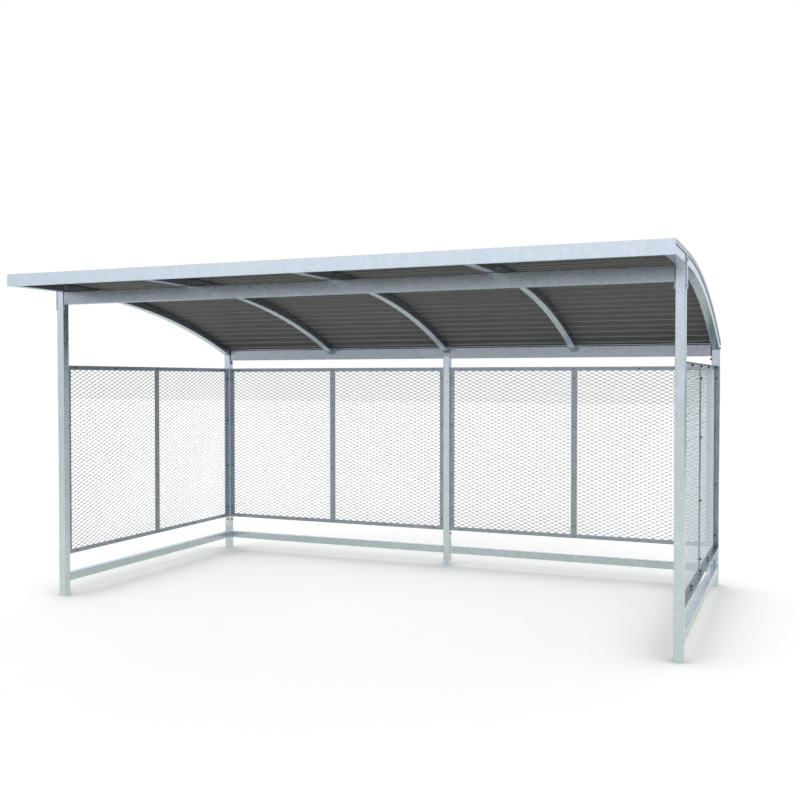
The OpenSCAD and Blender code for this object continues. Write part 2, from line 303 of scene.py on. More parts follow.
def coated_sheet():
    """Roll-formed steel sheet with a dark grey polyester coat: satin, even, with a faint orange
    peel and a little dust. Underneath, the colour is painted paler inside the ribs to cancel their shade, and
    towards the rear painted pale along the lower fold of each rib as a highlight."""
    material = empty_material("dark_grey_polyester_coated_sheet")
    tree = material.node_tree
    place = node(tree, "ShaderNodeTexCoord").outputs["Object"]
    parts = node(tree, "ShaderNodeSeparateXYZ", {}, {0: place})

    # Dust, drawn out along the ribs.
    along = node(tree, "ShaderNodeMapping", {}, {"Vector": place, "Scale": (0.15, 1, 1)}).outputs[0]
    dust = node(
        tree,
        "ShaderNodeTexNoise",
        {},
        {"Vector": along, "Scale": 1000 / DUST_SIZE, "Detail": 6.0, "Roughness": 0.6},
    )
    tone = node(
        tree,
        "ShaderNodeValToRGB",
        {},
        {"Fac": dust.outputs["Fac"]},
        [(stop, linear(colour)) for stop, colour in COAT_TONES],
    )

    # How high a point lies in its rib: along the spoke from the middle of the roof's bend, which
    # stands straight up over the level front.
    back = node(tree, "ShaderNodeMath", SUBTRACT, {0: parts.outputs["Y"], 1: BEND_PLACE[0]})
    bent = node(tree, "ShaderNodeMath", LARGER, {0: back.outputs[0], 1: 0.0})
    up = node(tree, "ShaderNodeMath", SUBTRACT, {0: parts.outputs["Z"], 1: BEND_PLACE[1]})
    spoke = node(tree, "ShaderNodeCombineXYZ", {}, {"Y": bent.outputs[0], "Z": up.outputs[0]}).outputs[0]
    reach = node(tree, "ShaderNodeVectorMath", {"operation": "LENGTH"}, {0: spoke})
    above = node(tree, "ShaderNodeMath", SUBTRACT, {0: reach.outputs["Value"], 1: ROOF_RADIUS})
    rib = node(
        tree,
        "ShaderNodeMapRange",
        {},
        {"Value": above.outputs[0], "From Min": 0.0, "From Max": RIB_H * MM},
    )

    # The underside: painted paler inside the ribs to cancel their shade, and towards the rear painted
    # highlights along the lower fold of each rib.
    # Painted light: the rib insides are lifted paler to cancel their shade.
    even = node(tree, "ShaderNodeValToRGB", {}, {"Fac": rib.outputs[0]}, PAINTED_RIB_LIFT)
    # Painted highlight, blended in towards the rear only.
    fold_highlights = node(tree, "ShaderNodeValToRGB", {}, {"Fac": rib.outputs[0]}, PAINTED_FOLD_HIGHLIGHT)
    rearward = node(
        tree,
        "ShaderNodeMapRange",
        SMOOTH,
        {"Value": parts.outputs["Y"], "From Min": FOLD_HIGHLIGHT_SPAN[0], "From Max": FOLD_HIGHLIGHT_SPAN[1]},
    )
    inner = node(
        tree,
        "ShaderNodeMix",
        COLOURS,
        {SHARE: rearward.outputs[0], FIRST_COLOUR: even.outputs[0], SECOND_COLOUR: fold_highlights.outputs[0]},
    )

    # The outer side keeps the coat's own dark colour, evenly, without the painted light of the underside.
    normal = node(tree, "ShaderNodeNewGeometry").outputs["Normal"]
    outward = node(tree, "ShaderNodeVectorMath", {"operation": "NORMALIZE"}, {0: spoke}).outputs[0]
    upward = node(tree, "ShaderNodeVectorMath", {"operation": "DOT_PRODUCT"}, {0: normal, 1: outward})
    upper = node(
        tree,
        "ShaderNodeMapRange",
        SMOOTH,
        {"Value": upward.outputs["Value"], "From Min": -0.05, "From Max": 0.05},
    )
    coat = node(
        tree,
        "ShaderNodeMix",
        COLOURS,
        {SHARE: upper.outputs[0], FIRST_COLOUR: inner.outputs[MIXED_COLOUR], SECOND_COLOUR: grey(FULL_COAT)},
    )
    scaled = node(
        tree,
        "ShaderNodeVectorMath",
        {"operation": "SCALE"},
        {0: coat.outputs[MIXED_COLOUR], "Scale": 1 / FULL_COAT},
    )
    colour = node(
        tree,
        "ShaderNodeMix",
        PRODUCT,
        {SHARE: 1.0, FIRST_COLOUR: tone.outputs[0], SECOND_COLOUR: scaled.outputs[0]},
    )
    peel = node(
        tree, "ShaderNodeTexNoise", {}, {"Vector": place, "Scale": 1000 / PEEL_SIZE, "Detail": 1.0}
    )
    bump = node(
        tree, "ShaderNodeBump", {}, {"Height": peel.outputs["Fac"], "Strength": 0.12, "Distance": 0.3 * MM}
    )
    surface = node(
        tree,
        "ShaderNodeBsdfPrincipled",
        {},
        {
            "Base Color": colour.outputs[MIXED_COLOUR],
            "Roughness": 0.55,
            "Normal": bump.outputs[0],
            "IOR": 1.5,
            "Specular IOR Level": 0.25,
        },
    )
    node(tree, "ShaderNodeOutputMaterial", {}, {"Surface": surface.outputs[0]})
    return material


GRAIN_SIZE = 1.1111  # mm
RUBBED_BLACK = "#34363A"  # the crests of the grain, greyed by handling


def black_plastic(name, colour, roughness):
    """Moulded black plastic or rubber: matt, with a fine grain that keeps its shine soft."""
    material = empty_material(name)
    tree = material.node_tree
    place = node(tree, "ShaderNodeTexCoord").outputs["Object"]
    grain = node(tree, "ShaderNodeTexNoise", {}, {"Vector": place, "Scale": 1000 / GRAIN_SIZE, "Detail": 2.0})
    tone = node(
        tree,
        "ShaderNodeValToRGB",
        {},
        {"Fac": grain.outputs["Fac"]},
        [(0.3, linear(colour)), (0.8, linear(RUBBED_BLACK))],
    )
    bump = node(
        tree, "ShaderNodeBump", {}, {"Height": grain.outputs["Fac"], "Strength": 0.2, "Distance": 0.1 * MM}
    )
    surface = node(
        tree,
        "ShaderNodeBsdfPrincipled",
        {},
        {"Base Color": tone.outputs[0], "Roughness": roughness, "Normal": bump.outputs[0], "IOR": 1.5},
    )
    node(tree, "ShaderNodeOutputMaterial", {}, {"Surface": surface.outputs[0]})
    return material


roof_coat = coated_sheet()
# Moulded polyethylene: matt black, for the caps and plugs, which read as dark dots between the pale tubes;
# the same black fills the gaps at the rear beam's ends as painted shade.
black_caps_and_painted_shade = black_plastic("black_polyethylene_caps_and_painted_shade", "#1E1F22", 0.5)
# Sealing rubber: deeper black and duller, for the washers under the roof screws; along the rear beam's top
# the same black paints a line of shade.
black_rubber_and_painted_shade = black_plastic("black_rubber_washers_and_painted_shade", "#17181A", 0.7)


# ---- finishes of the CAD nodes ------------------------------------------------------------

FINISHES = {
    tube_zinc: ("post_",),
    rail_zinc: ("low_rail_",),
    arch_zinc: ("arch_left", "arch_middle", "arch_right"),
    plate_zinc: ("arch_cleats", "front_beam", "rear_beam", "fish_plates"),
    angle_zinc: ("panel_frame_", "centre_bar_", "clamp_bars_"),
    roof_coat: ("roof_sheet_",),
    trim_zinc: ("fascia_", "rear_trim"),
    verge_zinc: ("verge_trim_",),
}

for material, starts in FINISHES.items():
    for name, cad in nodes.items():
        if name.startswith(starts):
            cad.data.materials.clear()
            cad.data.materials.append(material)


# ---- making pieces ------------------------------------------------------------------------


class Batch:
    """Many small closed shapes gathered into one mesh."""

    def __init__(self):
        self.points = []
        self.faces = []

    def add(self, points, faces, place=None):
        start = len(self.points)
        place = place or Matrix.Identity(4)
        self.points += [place @ Vector(p) for p in points]
        self.faces += [[start + i for i in face] for face in faces]

    def piece(self, name, material, slot, smooth_angle=None):
        mesh = bpy.data.meshes.new(name)
        mesh.from_pydata(self.points, [], self.faces)
        mesh.validate()
        mesh.materials.append(material)
        if smooth_angle:
            mesh.shade_smooth()
            mesh.set_sharp_from_angle(angle=math.radians(smooth_angle))
        piece = bpy.data.objects.new(name, mesh)
        bpy.context.scene.collection.objects.link(piece)
        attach(piece, BODY)
        return piece


def turned(rings, sides, radius_at):
    """Closed shape around +Z from (height, radius) rings; radius_at(angle, radius) shapes each."""
    points = []
    faces = []
    for height, radius in rings:
        for k in range(sides):
            angle = 2 * math.pi * k / sides
            r = radius_at(angle, radius)
            points.append((r * math.cos(angle), r * math.sin(angle), height))
    for ring in range(len(rings) - 1):
        for k in range(sides):
            a = ring * sides + k
            b = ring * sides + (k + 1) % sides
            faces.append((a, b, b + sides, a + sides))
    faces.append(tuple(range(sides - 1, -1, -1)))
    last = (len(rings) - 1) * sides
    faces.append(tuple(last + k for k in range(sides)))
    return points, faces


def round_ring(_angle, radius):
    """A ring that stays round."""
    return radius


def hex_ring(flats):
    """Radius of a hexagon of this width over its flats, cut back to the ring's own radius."""

    def radius_at(angle, radius):
        turn = (angle + math.pi / 6) % (math.pi / 3) - math.pi / 6
        return min(radius, flats / 2 / math.cos(turn))

    return radius_at


def washer(across, thick):
    """Round disc with both rims chamfered."""
    r = across / 2
    c = thick * 0.2
    return turned([(0, r - c), (c, r), (thick - c, r), (thick, r - c)], 24, round_ring)


def hex_block(flats, low, high):
    """Hexagon with both ends chamfered round, as on a nut or a bolt head."""
    corner = flats / 2 / math.cos(math.pi / 6)
    face = flats * 0.475
    c = (high - low) * 0.16
    rings = [(low, face), (low + c, corner), (high - c, corner), (high, face)]
    return turned(rings, 24, hex_ring(flats))


def stub(across, low, high):
    """End of a threaded rod: thread crests and grooves in turn, and a chamfered tip."""
    r = across / 2
    step = (high - low) / 7
    rings = [(low, r)]
    for k in range(1, 6):
        rings.append((low + step * k, r if k % 2 else r * 0.88))
    rings += [(high - step, r), (high, r * 0.75)]
    return turned(rings, 16, round_ring)


def facing(at, out):
    """Matrix that sets a shape made around +Z on the surface at `at`, pointing along `out`."""
    return Matrix.Translation(at) @ Vector(out).to_track_quat("Z", "Y").to_matrix().to_4x4()


# By the thread in mm: width over the flats, height of the head and height of the nut, all in mm.
FLATS = {6: 10, 8: 13, 10: 16}
HEADS = {6: 4.0, 8: 5.3, 10: 6.4}
NUTS = {6: 5.0, 8: 6.5, 10: 8.0}
WASHER_T = 1.6 * MM


def bolt_head(batch, at, out, size=8, turn=0.0, around=1.25):
    """Hexagon head on a washer; size is the thread in mm, and around the washer's width over
    the head's flats."""
    place = facing(at, out) @ Matrix.Rotation(turn, 4, "Z")
    flats = FLATS[size] * MM
    batch.add(*washer(flats * around, WASHER_T), place)
    batch.add(*hex_block(flats, WASHER_T, WASHER_T + HEADS[size] * MM), place)


def nut_end(batch, at, out, size=8, turn=0.0, over=4.0, around=1.25):
    """Washer, nut and the end of the bolt that stands out of it by `over` mm."""
    place = facing(at, out) @ Matrix.Rotation(turn, 4, "Z")
    flats = FLATS[size] * MM
    top = WASHER_T + NUTS[size] * MM
    batch.add(*washer(flats * around, WASHER_T), place)
    batch.add(*hex_block(flats, WASHER_T, top), place)
    batch.add(*stub(size * MM, (WASHER_T + top) / 2, top + over * MM), place)


def plug(batch, at, out, across=12.0, proud=2.5, deep=2.0):
    """Domed plastic plug in a hole of the tube."""
    r = across / 2 * MM
    high = proud * MM
    rings = [(-deep * MM, r * 0.8), (0, r * 0.96)]
    rings += [(high * 0.4, r), (high * 0.8, r * 0.8), (high, r * 0.35)]
    batch.add(*turned(rings, 20, round_ring), facing(at, out))


def bead(batch, corners, radius=2.6, closed=True, step=5.0):
    """Weld bead along straight stretches from corner to corner, uneven as a hand weld is."""
    sides = 8
    ends = corners + corners[:1] if closed else corners
    spots = []
    for start, end in zip(ends, ends[1:]):
        start = Vector(start)
        end = Vector(end)
        count = max(2, round((end - start).length / (step * MM)))
        spots += [start.lerp(end, k / count) for k in range(count)]
    if not closed:
        spots.append(Vector(ends[-1]))
    points = []
    faces = []
    count = len(spots)
    for k, spot in enumerate(spots):
        before = spots[k - 1] if closed or k else spot
        after = spots[(k + 1) % count] if closed or k < count - 1 else spot
        turn = (after - before).to_track_quat("Z", "Y")
        r = radius * MM * draws.uniform(0.82, 1.12)
        for side in range(sides):
            angle = 2 * math.pi * side / sides
            points.append(spot + turn @ Vector((r * math.cos(angle), r * math.sin(angle), 0)))
    for k in range(count if closed else count - 1):
        for side in range(sides):
            a = sides * k + side
            b = sides * k + (side + 1) % sides
            shift = sides * ((k + 1) % count) - sides * k
            faces.append((a, b, b + shift, a + shift))
    if not closed:
        faces.append(tuple(range(sides - 1, -1, -1)))
        faces.append(tuple(sides * (count - 1) + side for side in range(sides)))
    batch.add(points, faces)


# ---- expanded mesh ------------------------------------------------------------------------

LONG_WAY = 68.3 * MM  # from knuckle to knuckle along the panel
SHORT_WAY = 31.5 * MM  # from knuckle to knuckle up the panel
STRAND = 3.6 * MM  # width of a strand
STRAND_T = 1.8 * MM  # thickness of a strand
KNUCKLE = 9.0 * MM  # length over which two strands stay joined
KNUCKLE_OVERLAP = 0.1 * MM  # how far they run into each other there
STRAND_TILT = math.radians(32)  # the cut strands lean out of the sheet's plane


def expanded_mesh(side, along, outward):
    """Strips of steel bent up and down in step, each joined to the next at its knuckles."""
    low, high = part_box(f"mesh_{side}")
    u_axis = Vector(along)
    w_axis = Vector(outward)
    centre = (low + high) / 2
    length = abs((high - low) @ u_axis)
    height = high.z - low.z
    lean = STRAND / 2 * math.sin(STRAND_TILT)
    rise = STRAND / 2 * math.cos(STRAND_TILT)
    swing = (SHORT_WAY / 2 - 2 * rise) / 2 + KNUCKLE_OVERLAP
    thick_v = -STRAND_T / 2 * math.sin(STRAND_TILT)
    thick_w = STRAND_T / 2 * math.cos(STRAND_TILT)
    corners = [
        (-rise - thick_v, -lean - thick_w),
        (rise - thick_v, lean - thick_w),
        (rise + thick_v, lean + thick_w),
        (-rise + thick_v, -lean + thick_w),
    ]
    half_steps = int(length / (LONG_WAY / 2))
    rows = int((height - 2 * rise) / (SHORT_WAY / 2))
    u_start = -half_steps * LONG_WAY / 4
    v_start = -rows * SHORT_WAY / 4
    batch = Batch()
    for row in range(rows):
        middle = v_start + (row + 0.5) * SHORT_WAY / 2
        line = []
        for step in range(half_steps + 1):
            up = 1 if (step + row) % 2 else -1
            u = u_start + step * LONG_WAY / 2
            for end in (-KNUCKLE / 2, KNUCKLE / 2):
                place = min(max(u + end, -length / 2), length / 2)
                line.append((place, middle + up * swing, -up * lean))
        points = []
        faces = []
        for u, v, w in line:
            for cv, cw in corners:
                points.append(centre + u_axis * u + Vector((0, 0, v + cv)) + w_axis * (w + cw))
        for k in range(len(line) - 1):
            for c in range(4):
                a = 4 * k + c
                b = 4 * k + (c + 1) % 4
                faces.append((a, b, b + 4, a + 4))
        faces.append((3, 2, 1, 0))
        last = 4 * (len(line) - 1)
        faces.append((last, last + 1, last + 2, last + 3))
        batch.add(points, faces)
    piece = batch.piece(f"expanded_mesh_{side}", mesh_zinc, "expanded_mesh")
    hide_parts(f"mesh_{side}")


# Each panel's direction along its length and the one out of the shelter.
PANELS = {
    "left": ((0, 1, 0), (-1, 0, 0)),
    "right": ((0, 1, 0), (1, 0, 0)),
    "back_left": ((1, 0, 0), (0, 1, 0)),
    "back_right": ((1, 0, 0), (0, 1, 0)),
}

for side, (along, outward) in PANELS.items():
    expanded_mesh(side, along, outward)


# ---- panel fastenings ---------------------------------------------------------------------

FIX_INSET = 16 * MM  # from a panel's edge to its fixings, the middle of the clamp bar
FIX_END = 100 * MM  # from a panel's end to the nearest fixing
STILE_STEP = 443 * MM  # between the two middle fixings of an upright
RAIL_STEP = 545 * MM  # between neighbouring fixings of a level bar
NUT_WASHER = 1.75  # width of the large washers under the nuts, over the nut's flats


def panel_fastenings(side, along, outward):
    """Bolts through frame, mesh and clamp bar: heads inside, nuts outside."""
    frame_low, frame_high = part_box(f"panel_frame_{side}")
    clamp_low, clamp_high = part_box(f"clamp_bars_{side}")
    u_axis = Vector(along)
    w_axis = Vector(outward)
    middle = (frame_low + frame_high) / 2
    inner = min(frame_low @ w_axis, frame_high @ w_axis)
    outer = max(clamp_low @ w_axis, clamp_high @ w_axis)
    half = abs((frame_high - frame_low) @ u_axis) / 2
    tall = (frame_high.z - frame_low.z) / 2
    ends = tall - FIX_END
    heights = (-ends, -STILE_STEP / 2, STILE_STEP / 2, ends)
    uprights = [(u, v) for u in (FIX_INSET - half, 0, half - FIX_INSET) for v in heights]
    levels = [-half + FIX_END, -RAIL_STEP, 0, RAIL_STEP, half - FIX_END]
    rails = [(u, v) for u in levels for v in (FIX_INSET - tall, tall - FIX_INSET)]
    batch = Batch()
    for u, v in uprights + rails:
        flat = middle - w_axis * (middle @ w_axis) + u_axis * u + Vector((0, 0, v))
        bolt_head(batch, flat + w_axis * inner, -w_axis, 6, draws.uniform(0, 1), 1.1)
        nut_end(batch, flat + w_axis * outer, w_axis, 8, draws.uniform(0, 1), 3.0, NUT_WASHER)
    batch.piece(f"panel_bolts_{side}", dull_bolt, "galvanised_plate", 35)


for side, (along, outward) in PANELS.items():
    panel_fastenings(side, along, outward)


# ---- bolts of the frame -------------------------------------------------------------------

POST_OUT = 2.335  # outer faces of the corner posts
POST_IN = 2.275  # their inner faces
FRONT_FACE = -0.9425  # front faces of the front posts
BACK_FACE = 1.4375  # rear faces of the back posts
TUBE = 0.06
FRONT_TOP = 2.342  # top of the front beam, which is the underside of the arches there
REAR_TOP = 1.9536  # top of the rear beam
PLATE_T = 0.006  # end plates of the front beam
REAR_PLATE_T = 0.003  # end plates of the rear beam
CLEAT_T = 0.004
ARCHES = (-1.1525, 0.0, 1.1525)  # the inner arches
ENDS = (-1, 1)

FRONT_BOLTS = (FRONT_TOP + TUBE / 2, FRONT_TOP - 0.12)  # Z, through the arch and below the beam
REAR_BOLT = (1.4035, 1.834)  # Y and Z, through each end plate of the rear beam, below the beam
SIDE_BOLT = (1.39, 1.92)  # Y and Z, from outside into the top of each rear post
CLEAT_BOLTS = (0.027, 0.021)  # up from the front beam and out from the cleat's upright leg
REAR_CLEAT_BOLT = (1.3615, REAR_TOP - 0.008)  # Y and Z, into the foot of the arch
REAR_CLEAT_FOOT = (0.013, 1.3795, REAR_TOP - 0.01)  # out from the cleat, Y and Z

frame_bolts = Batch()
capped_bolts = Batch()
front_middle = FRONT_FACE + TUBE / 2
for end in ENDS:
    for high in FRONT_BOLTS:
        inner = Vector((end * (POST_IN - PLATE_T), front_middle, high))
        bolt_head(frame_bolts, inner, (-end, 0, 0), 8, draws.uniform(0, 1), 1.5)
    rear = Vector((end * (POST_IN - REAR_PLATE_T), *REAR_BOLT))
    nut_end(capped_bolts, rear, (-end, 0, 0), 10, draws.uniform(0, 1), 5, 1.4)
    outer = Vector((end * POST_OUT, *SIDE_BOLT))
    bolt_head(capped_bolts, outer, (end, 0, 0), 8, draws.uniform(0, 1), 1.5)
for x in ARCHES:
    cleat = x + TUBE / 2 + CLEAT_T
    spots = (
        ((cleat, front_middle, FRONT_TOP + CLEAT_BOLTS[0]), (1, 0, 0), 8),
        ((cleat + CLEAT_BOLTS[1], front_middle, FRONT_TOP + CLEAT_T), (0, 0, 1), 8),
        ((cleat, *REAR_CLEAT_BOLT), (1, 0, 0), 6),
        ((cleat + REAR_CLEAT_FOOT[0], *REAR_CLEAT_FOOT[1:]), (0, -1, 0), 6),
    )
    for at, out, size in spots:
        bolt_head(frame_bolts, at, out, size, draws.uniform(0, 1), 1.3)
frame_bolts.piece("frame_bolts", bolt_zinc, "galvanised_plate", 35)
# The rear ones are capped in black.
capped_bolts.piece("rear_frame_bolts", black_caps_and_painted_shade, "galvanised_plate", 35)


# ---- bolts and plugs in the posts ---------------------------------------------------------

POST_BOLT_Z = 0.2845  # of the bolt under each panel
PLUG_Z = (0.2085, 0.187)  # of the plugs in the holes left for the dipping

post_bolts = Batch()
post_plugs = Batch()
post_faces = []
for end in ENDS:
    corner = end * (POST_IN + TUBE / 2)
    post_faces.append(((corner, FRONT_FACE + TUBE, 0), (0, 1, 0)))
    post_faces.append(((corner, BACK_FACE - TUBE, 0), (0, -1, 0)))
    post_faces.append(((end * POST_IN, BACK_FACE - TUBE / 2, 0), (-end, 0, 0)))
    post_faces.append(((end * TUBE / 2, BACK_FACE - TUBE / 2, 0), (end, 0, 0)))
for at, out in post_faces:
    base = Vector(at)
    bolt_head(post_bolts, base + Vector((0, 0, POST_BOLT_Z)), out, 8, draws.uniform(0, 1))
    for high in PLUG_Z:
        plug(post_plugs, base + Vector((0, 0, high)), out)
post_bolts.piece("post_bolts", dull_bolt, "galvanised_plate", 35)
post_plugs.piece("post_plugs", black_caps_and_painted_shade, "galvanised_tube", 50)


# ---- painted shade at the rear beam: black blocks at its ends, black strips along its top ---

REAR_BEAM_END = 2.266
REAR_BEAM_FRONT = 1.3835
REAR_BEAM_D = 0.04
REAR_BEAM_LOW = 1.8566
SHADE_BLOCK_CLEARANCE = (0.0003, 0.0002)  # to the end of the beam and to its end plate
SHADE_BLOCK_INSET = 0.001  # of a painted shade block inside the outline of the beam
# Painted shade: black strips along the front of the rear beam's top, between the arches, for the dark line of
# shade there.
SHADE_STRIP_INSET = 0.001  # of a strip between two arches
SHADE_STRIP_Y = (0.0008, 0.0055)  # from the front face of the rear beam
SHADE_STRIP_Z = (0.0002, 0.0045)  # from its top

painted_shade_blocks = Batch()
painted_shade_strips = Batch()


def block(batch, low, high, bevel=0.5):
    """Block with all its edges cut back by the bevel."""
    low = Vector(low)
    high = Vector(high)
    cut = bevel * MM
    size = high - low
    points = []
    for level, inset in ((0, cut), (cut, 0), (size.z - cut, 0), (size.z, cut)):
        near = cut + inset
        outline = (
            (near, inset),
            (size.x - near, inset),
            (size.x - inset, near),
            (size.x - inset, size.y - near),
            (size.x - near, size.y - inset),
            (near, size.y - inset),
            (inset, size.y - near),
            (inset, near),
        )
        points += [low + Vector((x, y, level)) for x, y in outline]
    faces = []
    for ring in range(3):
        for k in range(8):
            a = ring * 8 + k
            b = ring * 8 + (k + 1) % 8
            faces.append((a, b, b + 8, a + 8))
    faces.append(tuple(range(7, -1, -1)))
    faces.append(tuple(range(24, 32)))
    batch.add(points, faces)


# Painted shade: black blocks fill the gaps between the rear beam's ends and its end plates, where shade
# falls.
for end in ENDS:
    beam_side = end * (REAR_BEAM_END + SHADE_BLOCK_CLEARANCE[0])
    plate_side = end * (POST_IN - REAR_PLATE_T - SHADE_BLOCK_CLEARANCE[1])
    near, far = sorted((beam_side, plate_side))
    block(
        painted_shade_blocks,
        (near, REAR_BEAM_FRONT + SHADE_BLOCK_INSET, REAR_BEAM_LOW + SHADE_BLOCK_INSET),
        (far, REAR_BEAM_FRONT + REAR_BEAM_D - SHADE_BLOCK_INSET, REAR_TOP - SHADE_BLOCK_INSET),
    )
painted_shade_blocks.piece("rear_beam_end_painted_shade", black_caps_and_painted_shade, "coated_sheet")

# Painted shade: one black strip in each bay along the rear beam's top.
bays = sorted([-POST_IN, POST_IN] + [x + side * TUBE / 2 for x in ARCHES for side in (-1, 1)])
for start, stop in zip(bays[0::2], bays[1::2]):
    block(
        painted_shade_strips,
        (start + SHADE_STRIP_INSET, REAR_BEAM_FRONT + SHADE_STRIP_Y[0], REAR_TOP + SHADE_STRIP_Z[0]),
        (stop - SHADE_STRIP_INSET, REAR_BEAM_FRONT + SHADE_STRIP_Y[1], REAR_TOP + SHADE_STRIP_Z[1]),
    )
painted_shade_strips.piece("rear_painted_shade_strips", black_rubber_and_painted_shade, "coated_sheet")


# ---- welds --------------------------------------------------------------------------------

RAIL_LOW = 0.108  # underside of the low rails
WELD_ROUND = 0.0032  # how far the corners of a weld are cut back on the tube's own rounding
BEAM_H = 0.097
PLATE_WELD_INSET = 0.012  # from the edges of the post to the ends of the welds on the end plates
BUTT_WELD = (0.04, 0.004)  # below the top of the rear beam, where an arch butts against it

welds = Batch()


def tube_weld(along, at, centre):
    """Weld right round the end of a low rail; along is the rail's axis, 0 for X and 1 for Y."""
    other = 1 - along
    h = TUBE / 2
    c = h - WELD_ROUND
    corners = []
    for u, v in ((-c, -h), (c, -h), (h, -c), (h, c), (c, h), (-c, h), (-h, c), (-h, -c)):
        spot = [0, 0, RAIL_LOW + h + v]
        spot[along] = at
        spot[other] = centre + u
        corners.append(tuple(spot))
    bead(welds, corners)


for end in ENDS:
    middle = end * (POST_IN + TUBE / 2)
    tube_weld(1, FRONT_FACE + TUBE, middle)
    tube_weld(1, BACK_FACE - TUBE, middle)
    tube_weld(0, end * POST_IN, BACK_FACE - TUBE / 2)
    tube_weld(0, end * TUBE / 2, BACK_FACE - TUBE / 2)
    for high in (FRONT_TOP - BEAM_H, FRONT_TOP):
        places = (FRONT_FACE + PLATE_WELD_INSET, FRONT_FACE + TUBE - PLATE_WELD_INSET)
        line = [(end * (POST_IN - PLATE_T), y, high) for y in places]
        bead(welds, line, 2.2, False)
for x in ARCHES:
    for side in (-1, 1):
        face = x + side * TUBE / 2
        line = [(face, REAR_BEAM_FRONT, REAR_TOP - down) for down in BUTT_WELD]
        bead(welds, line, 2.0, False)
welds.piece("welds", tube_zinc, "galvanised_tube", 60)


# ---- roof screws --------------------------------------------------------------------------

RIB_PITCH = 0.117
FIRST_PAN = 0.0915  # from the front edge of the sheets to the middle of the first whole pan
ROOF_FRONT = -1.4405
PANS = 25
SCREW_STEP = 2  # a screw in every second pan
END_SCREWS = 2.25  # X of the screws over the end arches
SCREW_WASHER = (15 * MM, 1.4 * MM)  # width and thickness
SCREW_HEAD = (8 * MM, 2.2 * MM, 6.4 * MM)  # over the flats, and from the roof to its foot and top
SCREW_COLLAR = [(1.4 * MM, 6.2 * MM), (2.2 * MM, 6.2 * MM), (2.6 * MM, 5 * MM)]  # height, radius
FEELER = 0.2  # how far above and below the bend the roof's surface is looked for

surfaces = []
for name in ("roof_sheet_front", "roof_sheet_middle", "roof_sheet_rear"):
    sheet = nodes[name].data
    corners = [vertex.co for vertex in sheet.vertices]
    surfaces.append(BVHTree.FromPolygons(corners, [face.vertices for face in sheet.polygons]))


def roof_screw(batch, seal_batch, spot, out):
    """Self-drilling screw with a collar under its head, on a rubber-faced washer."""
    place = facing(spot, out)
    seal_batch.add(*washer(*SCREW_WASHER), place)
    batch.add(*turned(SCREW_COLLAR, 16, round_ring), place)
    batch.add(*hex_block(*SCREW_HEAD), place)


roof_screws = Batch()
roof_washers = Batch()
straight = BEND_PLACE[0] - ROOF_FRONT
for pan in range(0, PANS, SCREW_STEP):
    run = FIRST_PAN + pan * RIB_PITCH
    angle = max(0.0, run - straight) / ROOF_RADIUS
    out = Vector((0, math.sin(angle), math.cos(angle)))
    if run < straight:
        above = Vector((0, ROOF_FRONT + run, BEND_PLACE[1] + ROOF_RADIUS))
    else:
        above = Vector((0, *BEND_PLACE)) + out * ROOF_RADIUS
    for x in (-END_SCREWS, *ARCHES, END_SCREWS):
        start = above + out * FEELER + Vector((x, 0, 0))
        hits = [surface.ray_cast(start, -out, 2 * FEELER) for surface in surfaces]
        found = [hit for hit in hits if hit[0] is not None]
        if found:
            spot = min(found, key=lambda hit: hit[3])[0]
            roof_screw(roof_screws, roof_washers, spot, out)
roof_screws.piece("roof_screws", bolt_zinc, "galvanised_plate", 35)
roof_washers.piece("roof_screw_washers", black_rubber_and_painted_shade, "coated_sheet", 50)


# ---- the floor ----------------------------------------------------------------------------

FLOOR_GLOW = 0.16  # lifts the lit floor to white and leaves its shadows
FLOOR_SHINE = 0.22  # the same for its image in the metal, near the shelter
FLOOR_NEAR = 4.0  # metres from the shelter to where that image starts to fade
FLOOR_FAR = 14.0  # and to where it has gone
FLOOR_WHITE = 0.8  # what the floor gives back of the light that falls on it
SHADE_REACH = 0.55  # metres over which things near the floor darken it
SHADE_OPEN = 0.55  # how open the floor still is where that shade is deepest
SHADE_DEPTH = 0.62  # what is left of the light there
FLOOR_TINT = "#FBFFF2"  # warm cast of the floor's image in the zinc
FLOOR_HALF = 60.0
BACK_BLUE = "#869DBA"  # the far end of the studio, as side faces of the metal mirror it
BACK_WIDTH = (0.88, 0.99)  # from its edge to its full depth, as the cosine of the turn from +Y


